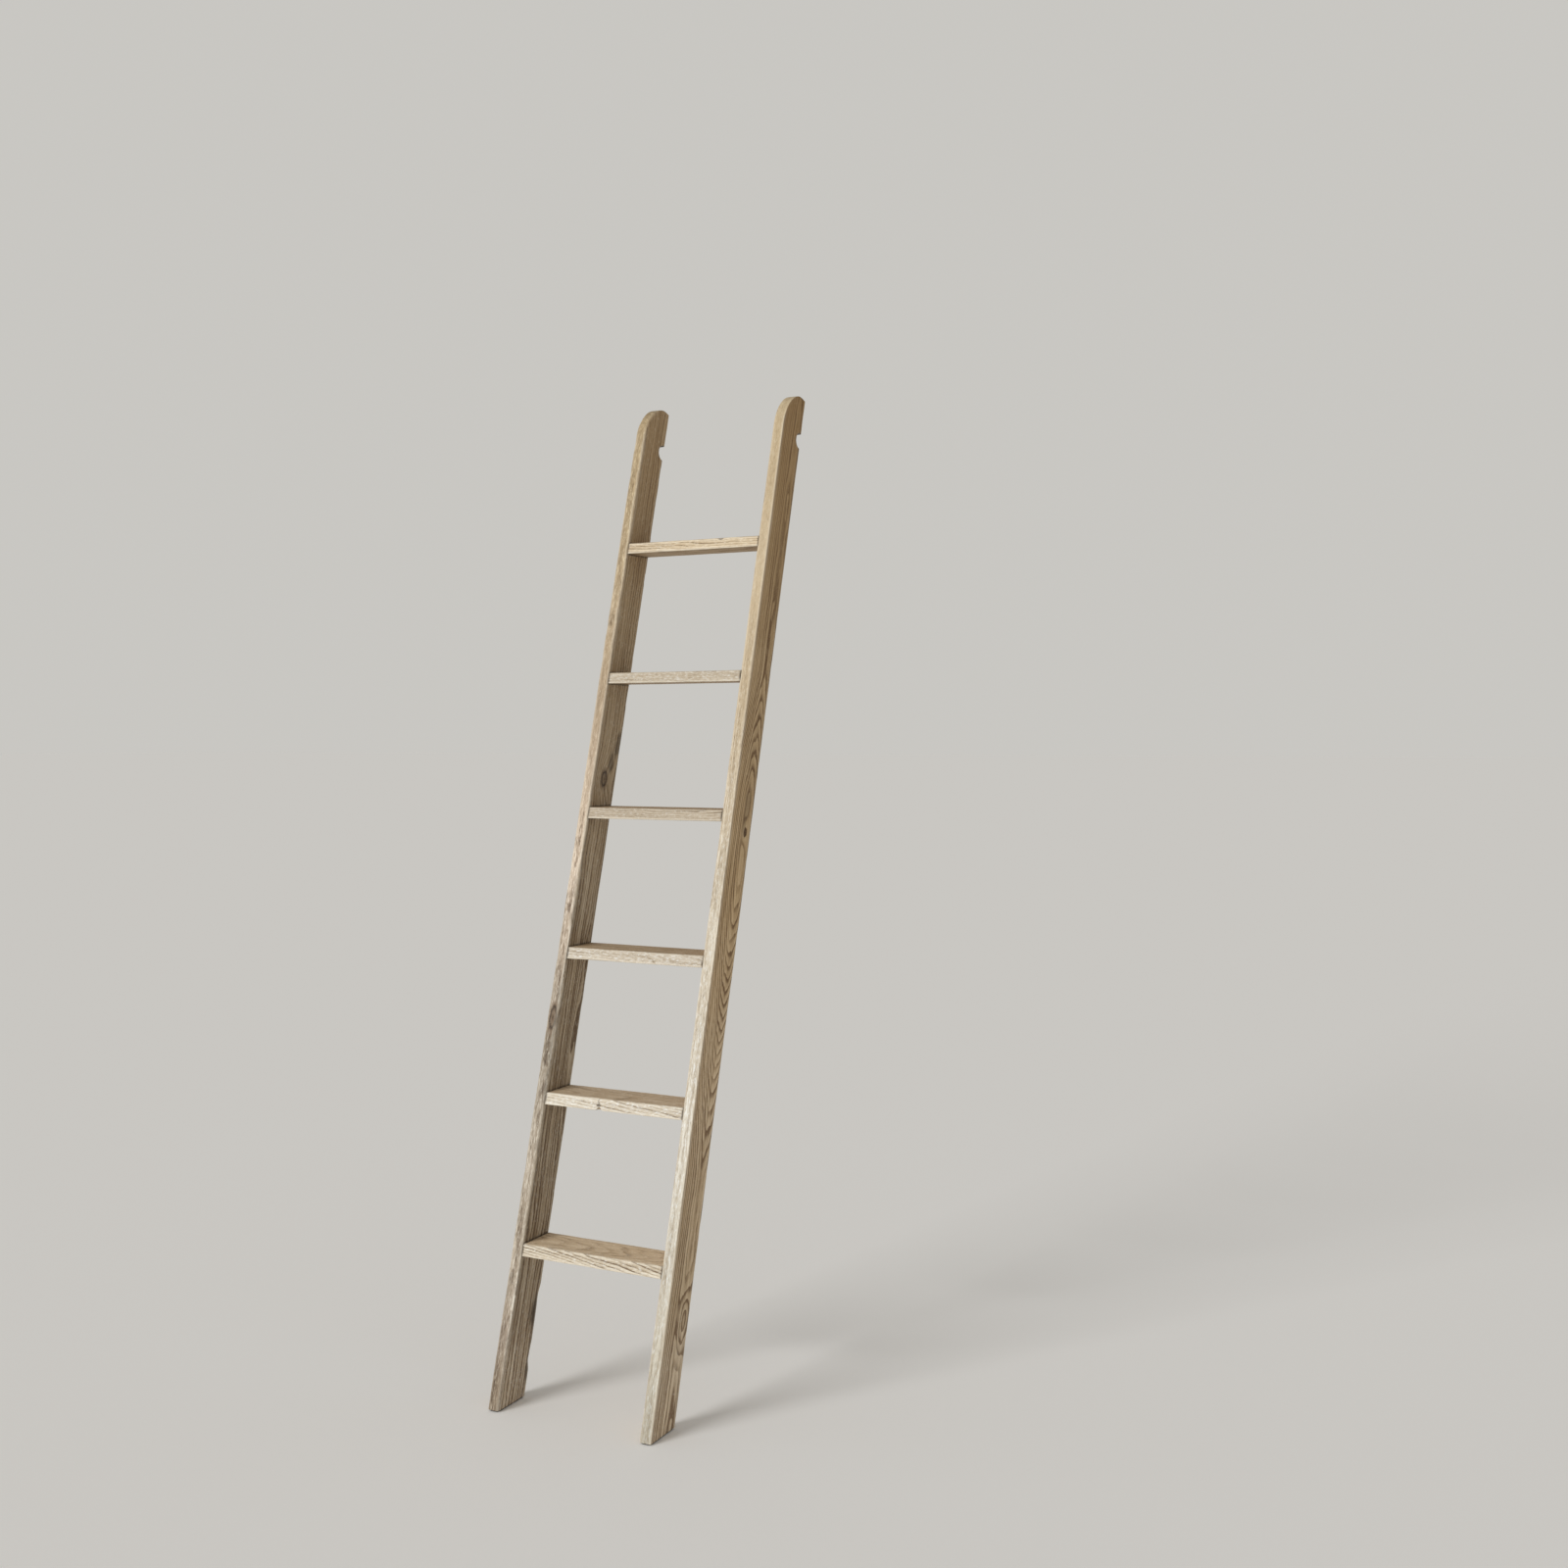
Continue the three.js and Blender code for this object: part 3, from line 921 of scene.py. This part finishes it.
# Lowest first. front and top are the tones of those faces; the tops of the upper treads are toned
# darker, partly the wood's own tone and partly painted shade.
TREAD_STYLES = [
    {"front_contrast": 1.25, "spacing": 4.6, "ripple": 0.006, "taper": 0.085, "wander": 0.03,
     "flecks": 0.35, "speckle": 0.35,
     "front": (1.21, 1.33, 1.49), "top": (1.5, 1.5, 1.5)},
    {"front_contrast": 0.8, "spacing": 4.2, "ripple": 0.005, "taper": 0.06, "wander": 0.03,
     "flecks": 0.45, "speckle": 0.3,
     "front": (1.28, 1.45, 1.72), "top": (1.26, 1.25, 1.25)},
    {"front_contrast": 0.6, "spacing": 4.2, "flecks": 0.6, "speckle": 0.5,
     "front": (1.03, 1.12, 1.27), "top": (0.97, 0.90, 0.81)},
    {"front_contrast": 0.8, "spacing": 4, "flecks": 0.2, "speckle": 0.4,
     "front": (0.91, 0.96, 1.04), "top": (0.92, 0.84, 0.74)},
    {"front_contrast": 0.5, "spacing": 4, "flecks": 0.45, "speckle": 0.5,
     "front": (0.93, 0.98, 1.05), "top": (0.92, 0.84, 0.74)},
    {"front_contrast": 0.8, "spacing": 5.5, "flecks": 0.1, "speckle": 0.3,
     "front": (1.22, 1.25, 1.25), "top": (1.00, 0.92, 0.80)},
]


def tread_board(number):
    """One tread's wood. Its pith is below and behind, in the middle of the tree."""
    style = TREAD_STYLES[number - 1]
    low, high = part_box(f"tread_{number}")
    middle = ((high + low) / 2).z
    y = middle * TAN + LEVEL_DEPTH / 2
    d, s = to_board(y, middle)
    board = {
        "grain": "x", "seed": 11 + 2.3 * number, "taper": 0.03, "contrast": 0.4, "bleach": 0.15,
        "pith": (s - 0.055 - 0.006 * number, d + 0.012, 0), "reach": TREAD_REACH, "start": 0.5,
        "front_tones": tones((0, style["front"])),
        "side_tones": tones((0, style["top"])),
        **style,
    }
    middle_s = s / MM
    if number == CHIPPED_TREAD:
        # The chip is painted dark, with a dark crack line running up from it.
        board["stains"] = [
            ((-30, 1, middle_s - 10), (5, 6, 4), 0.75),
            ((-30.5, 0, middle_s), (1.3, 4, 9), 0.6),
        ]
    if number == TREAD_COUNT:
        board["knots"] = [
            ((68, 0, middle_s - 1), (5, 4, 3), 3),
            ((112, 0, middle_s + 4), (4, 4, 2.5), 3),
        ]
        board["figures"] = [((-70, 0, middle_s), (30, 20, 9), 9)]
    return board


# Noise scales per metre. The dowels' length runs along x.
BEECH_LINES = (35, 900, 900)
BEECH_FLECKS = (260, 1500, 1500)
RUBBER_GRAIN = (700, 700, 700)
RUBBER_DUST = (60, 60, 60)


def beech():
    t = Tree("dowel_beech")
    place = t.place()
    lines = t.noise(t.vector("MULTIPLY", place, BEECH_LINES), detail=3)["Fac"]
    flecks = t.noise(t.vector("MULTIPLY", place, BEECH_FLECKS), detail=1)["Fac"]
    colour = t.ramp(lines, [(0.3, (0.60, 0.42, 0.25)), (0.7, (0.72, 0.54, 0.35))])
    colour = t.mix(t.range(flecks, 0.6, 0.72, 0, 0.5), colour, (0.36, 0.21, 0.11))
    return t.finish(colour, t.range(lines, 0.3, 0.7, 0.6, 0.75), lines, 0.1 * MM)


def rubber():
    t = Tree("pad_rubber")
    place = t.place()
    grain = t.noise(t.vector("MULTIPLY", place, RUBBER_GRAIN), detail=3)["Fac"]
    dust = t.noise(t.vector("MULTIPLY", place, RUBBER_DUST), detail=3)["Fac"]
    colour = t.ramp(dust, [(0.35, (0.018, 0.016, 0.015)), (0.7, (0.045, 0.041, 0.037))])
    return t.finish(colour, t.range(dust, 0.3, 0.7, 0.75, 0.92), grain, 0.08 * MM)


# ---- The pieces ----


def worn_radii(s, bases, waves, dents, seed):
    """Arris radii at s: bases, with slow waves and a few dents, in millimetres."""
    radii = []
    for corner, (base, wave, dent) in enumerate(zip(bases, waves, dents)):
        slow = noise_along(s, 0.11, seed + corner)
        quick = noise_along(s, 0.016, seed + 10 + corner)
        spots = smooth((noise_along(s, 0.035, seed + 20 + corner) - 0.62) / 0.3)
        radii.append(base + wave * slow + 0.35 * wave * quick + dent * spots)
    return np.stack(radii, axis=-1) * MM


def arris_wear_and_highlight(along, near, weights, patchiness, size, seed):
    """How far each point is painted pale, partly wear and partly highlight: near is its nearness to
    each arris, weights how pale each one is.
    """
    least, swing = patchiness
    rubbed = np.zeros(along.shape)
    for corner, weight in enumerate(weights):
        patchy = least + swing * noise_along(along, size, seed + corner)
        rubbed = np.maximum(rubbed, near[None, :, corner] * weight * patchy)
    return rubbed


def place_board(node, mesh, cutters, board):
    """Cuts the bores, and puts the board in place of its CAD node."""
    made = cut_bores(mesh, cutters)
    made.name = f"{node}_mesh"
    made.materials.clear()
    made.materials.append(Wood(f"{node}_oak", board).build())
    piece = add_object(f"{node}_board", made)
    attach(piece, "root")
    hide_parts(node)


# The left stile's inner back arris was once the edge of the tree, and it is hollow near the foot.
INNER_BACK_ARRIS = 2
WANE_START, WANE_END, WANE_FADE = 50 * MM, 240 * MM, 30 * MM
WANE_DEPTH = 8 * MM


def stile(name, side, bases, waves, dents, wear, unevenness, seed):
    """A stile's board. bases, waves, dents and wear have a value for each arris, as in CORNERS."""

    def radii(s):
        made = worn_radii(s, bases, waves, dents, seed)
        if side < 0:
            wane = smooth((s - WANE_START) / WANE_FADE) * smooth((WANE_END - s) / WANE_FADE)
            ragged = 0.3 + 0.7 * noise_along(s, 0.03, seed + 50)
            made[:, INNER_BACK_ARRIS] += WANE_DEPTH * wane * ragged
        return made

    points, near, s = stile_points(side, radii, seed, unevenness)
    rubbed = arris_wear_and_highlight(s, near, wear, (0.55, 0.45), 0.04, seed + 30)
    mesh = board_mesh(name, points, rubbed)

    side_name = "left" if side < 0 else "right"
    dowels = []
    for number in range(1, TREAD_COUNT + 1):
        dowels += dowel_names(number, side_name)
    low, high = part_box(dowels[0])
    inner_x = side * (min(abs(stile_low.x), abs(stile_high.x)) - BORE_OVERSHOOT)
    end_x = side * (max(abs(low.x), abs(high.x)) + BORE_END_ROOM)
    cutters = [bore_mesh(f"{name}_bores", dowels, inner_x, end_x)]
    place_board(name, mesh, cutters, BOARDS[name])


TREAD_STEP = 2 * MM
TREAD_END_EASE = 0.5 * MM
WIDEST_ARRIS = 9 * MM

# The four arrises of a tread, as in CORNERS, but turned so that -side is the underside.
TREAD_BASES = (1.3, 1.0, 1.2, 1.4)
TREAD_WAVES = (1.0, 0.8, 0.9, 1.3)
TREAD_DENTS = (1.2, 0.6, 0.8, 1.2)
# How pale each arris is painted, partly wear and partly painted highlight; the lower front arris is
# the brightest.
TREAD_WEAR_AND_HIGHLIGHT = (0.85, 0.3, 0.3, 0.4)
UPPER_FRONT_ARRIS = 3

# Two feet wear a tread's upper front arris, and dish its top.
FOOT_X, FOOT_HALF = 70 * MM, 50 * MM
FOOT_WEAR = 1.3 * MM
DISH_DEPTH = 0.6 * MM
DISH_MIDDLE, DISH_HALF = 25 * MM, 30 * MM  # behind the tread's front
DISH_HALF_LENGTH = 90 * MM

# Unevenness of a tread's faces: sizes of its noise in metres, and depths in millimetres.
TREAD_BROAD, TREAD_FINE = (0.02, 0.05), (0.006, 0.02)
TREAD_BROAD_DEPTH, TREAD_FINE_DEPTH = 0.25, 0.15

# The bite out of the chipped tread.
CHIP_X = -30 * MM
CHIP_HALF = 8 * MM
CHIP_DEPTH = 6 * MM
CHIP_BACK = 12 * MM


def tread_rows(end_x):
    """x of a tread's rows from end to end, and how far each one's ring is drawn in."""
    half_length = end_x - TREAD_END_EASE
    inner = np.arange(-half_length, half_length, TREAD_STEP)
    inner = np.linspace(-half_length, half_length, len(inner))
    x = [-end_x + TREAD_END_EASE * (1 - math.sin(a)) for a in EASE_ANGLES[:-1]]
    inset = [TREAD_END_EASE * (1 - math.cos(a)) for a in EASE_ANGLES[:-1]]
    x = np.array([*x, *inner, *[-v for v in x[::-1]]])
    inset = np.array([*inset, *[0] * len(inner), *inset[::-1]])
    return x, inset


def tread_points(low, high, seed, chip_depth):
    """Points of a tread, nearness to its arrises, and the chip's share of each row, up to 1."""
    x, inset = tread_rows(high.x)
    radii = worn_radii(x, TREAD_BASES, TREAD_WAVES, TREAD_DENTS, seed)
    feet = np.exp(-((np.abs(x) - FOOT_X) / FOOT_HALF) ** 2)
    radii[:, UPPER_FRONT_ARRIS] += FOOT_WEAR * feet * noise_along(x, 0.05, seed + 5)
    length = LEVEL_DEPTH - 2 * TREAD_SETBACK - 2 * inset
    half = (high.z - low.z) / 2 - inset
    flat, normals, near = rings(length, half, np.minimum(radii, WIDEST_ARRIS))
    p, q = flat[..., 0], flat[..., 1]
    across = np.broadcast_to(x[:, None], p.shape)

    broad = noise(np.stack([p + 2 * q, across], axis=-1), TREAD_BROAD, seed)
    fine = noise(np.stack([p - 2 * q, across], axis=-1), TREAD_FINE, seed + 1)
    drop = (TREAD_BROAD_DEPTH * broad + TREAD_FINE_DEPTH * fine) * MM
    back, along = (p - DISH_MIDDLE) / DISH_HALF, across / DISH_HALF_LENGTH
    dish = DISH_DEPTH * np.exp(-(back ** 2) - along ** 2)
    drop = drop + np.where(normals[..., 1] > 0.9, dish, 0)  # on the top only
    p, q = p - normals[..., 0] * drop, q - normals[..., 1] * drop

    chip = smooth(1 - np.abs(x - CHIP_X) / CHIP_HALF)[:, None] * (chip_depth > 0)
    q = q + chip_depth * chip * smooth(1 - p / CHIP_BACK) * smooth(-q / half[:, None])
    z = (low.z + high.z) / 2 + q
    y = FRONT_AT_FLOOR + z * TAN + TREAD_SETBACK + inset[:, None] + p
    return np.stack([across, y, z], axis=-1), near, chip


def tread(number):
    name = f"tread_{number}"
    low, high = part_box(name)
    seed = 200 + 17 * number
    chip_depth = CHIP_DEPTH if number == CHIPPED_TREAD else 0
    points, near, chip = tread_points(low, high, seed, chip_depth)
    rubbed = arris_wear_and_highlight(points[..., 0], near, TREAD_WEAR_AND_HIGHLIGHT, (0.6, 0.4), 0.03, seed + 30)
    mesh = board_mesh(name, points, rubbed * (1 - chip))

    cutters = []
    for side_name, side in (("left", -1), ("right", 1)):
        dowels = dowel_names(number, side_name)
        box_low, box_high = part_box(dowels[0])
        end = side * (min(abs(box_low.x), abs(box_high.x)) - BORE_END_ROOM)
        outside = side * (high.x + BORE_OVERSHOOT)
        cutters.append(bore_mesh(f"{name}_{side_name}", dowels, end, outside))
    place_board(name, mesh, cutters, tread_board(number))


# Arris radii are in millimetres, for each arris as in CORNERS. Wear is how pale it is painted,
# partly real wear and partly painted highlight.
STILES = {
    "left_stile": {
        "side": -1, "bases": (1.6, 1.2, 1.4, 2.3), "waves": (1.6, 1.0, 1.2, 2.4),
        "dents": (1.5, 1.0, 1.5, 2.6), "wear": (0.45, 0.3, 0.35, 0.5),
        "unevenness": 0.55 * MM, "seed": 40,
    },
    "right_stile": {
        "side": 1, "bases": (1.4, 1.2, 1.3, 1.5), "waves": (0.8, 0.8, 0.9, 0.7),
        "dents": (0.6, 0.8, 1.0, 0.6), "wear": (0.4, 0.3, 0.35, 0.6),
        "unevenness": 0.3 * MM, "seed": 80,
    },
}


def dress_small_parts():
    """The dowels and the foot pads keep their CAD meshes."""
    finishes = {"dowel_beech": beech(), "pad_rubber": rubber()}
    for name, node in nodes.items():
        if name.startswith("dowel_"):
            slot = "dowel_beech"
        elif name.endswith("_foot_pad"):
            slot = "pad_rubber"
        else:
            continue
        for material_slot in node.material_slots:
            material_slot.material = finishes[slot]


for stile_name, stile_style in STILES.items():
    stile(stile_name, **stile_style)
for tread_number in range(1, TREAD_COUNT + 1):
    tread(tread_number)
dress_small_parts()

# ---- Floor, light and camera ----


FLOOR_HALF = 150  # m
FLOOR_COLOUR = (0.92, 0.92, 0.915)
FLOOR_GRIT = (300, 300, 300)  # per metre
KEY_FROM = Vector((-0.402, -0.862, 0.309))  # towards the light: front left, and above
KEY_STRENGTH = 2.4
KEY_ANGLE = math.radians(25)
KEY_COLOUR = (1.0, 0.99, 0.97)
SKY = (0.40, 0.385, 0.36)  # what lights the ladder from all round
BACKDROP = (0.583, 0.571, 0.542)  # what the camera sees behind it

# The camera, in metres, degrees and millimetres. Its y is in front of the stiles' floor line.
CAMERA_X, CAMERA_Y, CAMERA_Z = 1.7270, -2.572, 1.2757
CAMERA_TILT, CAMERA_TURN = 89.34, 26.40
SENSOR_WIDTH, LENS = 36, 38.16
CAMERA_SHIFT = -0.015


def floor():
    t = Tree("floor_pale")
    place = t.place()
    grit = t.noise(t.vector("MULTIPLY", place, FLOOR_GRIT))["Fac"]
    material = t.finish(FLOOR_COLOUR, 0.9, grit, 0.02 * MM, Specular_IOR_Level=0.0)
    mesh = bpy.data.meshes.new("floor")
    corners = [(x * FLOOR_HALF, y * FLOOR_HALF, 0) for x, y in ((-1, -1), (1, -1), (1, 1), (-1, 1))]
    mesh.from_pydata(corners, [], [(0, 1, 2, 3)])
    mesh.materials.append(material)
    add_object("floor", mesh)


def key_light():
    light = bpy.data.lights.new("key", "SUN")
    light.energy = KEY_STRENGTH
    light.angle = KEY_ANGLE
    light.color = KEY_COLOUR
    lamp = add_object("key", light)
    lamp.rotation_euler = KEY_FROM.to_track_quat("Z", "Y").to_euler()


def studio():
    """A pale surround, the same from every side."""
    world = bpy.data.worlds.new("studio")
    bpy.context.scene.world = world
    world.use_nodes = True
    tree = world.node_tree
    tree.nodes.clear()
    seen = tree.nodes.new("ShaderNodeLightPath").outputs["Is Camera Ray"]
    mixed = tree.nodes.new("ShaderNodeMixShader")
    tree.links.new(seen, mixed.inputs[0])
    for socket, colour in zip(mixed.inputs[1:], (SKY, BACKDROP)):
        sky = tree.nodes.new("ShaderNodeBackground")
        sky.inputs["Color"].default_value = (*colour, 1)
        tree.links.new(sky.outputs[0], socket)
    output = tree.nodes.new("ShaderNodeOutputWorld")
    tree.links.new(mixed.outputs[0], output.inputs["Surface"])


def photo_camera():
    data = bpy.data.cameras.new("camera")
    camera = add_object("camera", data)
    camera.location = (CAMERA_X, CAMERA_Y + FRONT_AT_FLOOR, CAMERA_Z)
    camera.rotation_euler = (math.radians(CAMERA_TILT), 0, math.radians(CAMERA_TURN))
    data.sensor_width = SENSOR_WIDTH
    data.lens = LENS
    data.shift_y = CAMERA_SHIFT
    bpy.context.scene.camera = camera


floor()
studio()
key_light()
photo_camera()
bpy.context.scene.view_settings.view_transform = "Standard"
